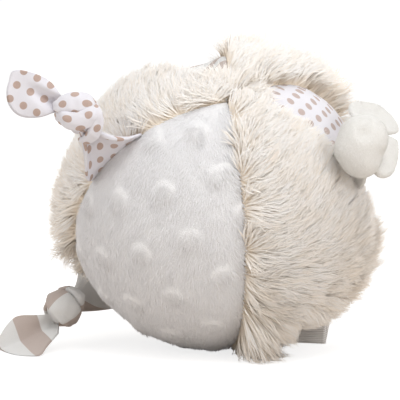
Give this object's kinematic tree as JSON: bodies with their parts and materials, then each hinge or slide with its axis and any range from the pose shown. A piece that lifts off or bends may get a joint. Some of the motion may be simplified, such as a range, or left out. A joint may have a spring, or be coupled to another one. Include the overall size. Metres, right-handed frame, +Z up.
{
  "type": "activity ball",
  "caption": "Soft patchwork baby ball of plush, fur and cotton gores with knotted cloth tags, a ribbon loop and a rattle inside.",
  "frame": {"origin": "on the floor, on the flat of the minky gore that the ball stands on", "axes": "+Z up, +X to the right as seen from the front, +Y away from the front"},
  "size_m": [0.2004, 0.1507, 0.1486],
  "materials": {
    "minky_plush": "matte",
    "long_fur": "matte",
    "dotted_cotton": "matte",
    "striped_cotton": "matte",
    "white_plush": "matte",
    "ribbed_ribbon": "matte",
    "fibre_filling": "matte",
    "capsule_plastic": "satin",
    "bead_plastic": "gloss"
  },
  "bodies": {
    "ball": {"panel_minky": "minky_plush", "panel_fur_right": "long_fur", "panel_dotted": "dotted_cotton", "panel_fur_top": "long_fur", "panel_striped": "striped_cotton", "panel_fur_left": "long_fur", "filling_upper": "fibre_filling", "filling_lower": "fibre_filling", "rattle_shell_upper": "capsule_plastic", "rattle_shell_lower": "capsule_plastic"},
    "dotted_tag": {"dotted_flare": "dotted_cotton", "dotted_knot": "dotted_cotton"},
    "dotted_end": {"dotted_tail": "dotted_cotton"},
    "striped_tag": {"striped_flare": "striped_cotton", "striped_knot": "striped_cotton"},
    "striped_end": {"striped_tail": "striped_cotton"},
    "plush_tag": {"plush_flare": "white_plush", "plush_knot": "white_plush"},
    "plush_end": {"plush_tail": "white_plush"},
    "ribbon": {"ribbon_loop": "ribbed_ribbon"},
    "bead_1": {"rattle_bead_1": "bead_plastic"},
    "bead_2": {"rattle_bead_2": "bead_plastic"},
    "bead_3": {"rattle_bead_3": "bead_plastic"},
    "bead_4": {"rattle_bead_4": "bead_plastic"}
  },
  "joints": [
    {"name": "dotted_tag_swing", "type": "hinge", "parent": "ball", "child": "dotted_tag", "pos_m": [-0.04003, -0.04937, 0.10024], "axis": [0.6769, -0.3476, 0.6488], "range_deg": [-35, 45], "stiffness_Nm_per_rad": 0.03},
    {"name": "dotted_end_flex", "type": "hinge", "parent": "dotted_tag", "child": "dotted_end", "pos_m": [-0.06579, -0.06197, 0.12469], "axis": [-0.4684, -0.0876, -0.8791], "range_deg": [-45, 45], "stiffness_Nm_per_rad": 0.008},
    {"name": "striped_tag_swing", "type": "hinge", "parent": "ball", "child": "striped_tag", "pos_m": [-0.05279, 0.00686, 0.03653], "axis": [-0.4367, -0.7112, 0.5509], "range_deg": [-45, 10], "stiffness_Nm_per_rad": 0.03},
    {"name": "striped_end_flex", "type": "hinge", "parent": "striped_tag", "child": "striped_end", "pos_m": [-0.07477, -0.00476, 0.01427], "axis": [0.3351, -0.1386, -0.9319], "range_deg": [-45, 45], "stiffness_Nm_per_rad": 0.008},
    {"name": "plush_tag_swing", "type": "hinge", "parent": "ball", "child": "plush_tag", "pos_m": [0.06703, -0.042, 0.09619], "axis": [-0.5737, -0.4381, 0.6921], "range_deg": [-30, 25], "stiffness_Nm_per_rad": 0.03},
    {"name": "plush_end_flex", "type": "hinge", "parent": "plush_tag", "child": "plush_end", "pos_m": [0.08341, -0.04576, 0.10681], "axis": [-0.4795, 0.4634, 0.7453], "range_deg": [-40, 20], "stiffness_Nm_per_rad": 0.008},
    {"name": "ribbon_swing", "type": "hinge", "parent": "ball", "child": "ribbon", "pos_m": [0.05913, 0.02332, 0.0264], "axis": [0.6979, -0.5898, 0.4063], "range_deg": [-10, 45], "stiffness_Nm_per_rad": 0.004},
    {"name": "bead_1_bounce", "type": "slide", "parent": "ball", "child": "bead_1", "axis": [0, 0, 1], "range_m": [0, 0.021]},
    {"name": "bead_2_bounce", "type": "slide", "parent": "ball", "child": "bead_2", "axis": [0, 0, 1], "range_m": [0, 0.021]},
    {"name": "bead_3_bounce", "type": "slide", "parent": "ball", "child": "bead_3", "axis": [0, 0, 1], "range_m": [0, 0.021]},
    {"name": "bead_4_bounce", "type": "slide", "parent": "ball", "child": "bead_4", "axis": [0, 0, 1], "range_m": [0, 0.021]}
  ]
}
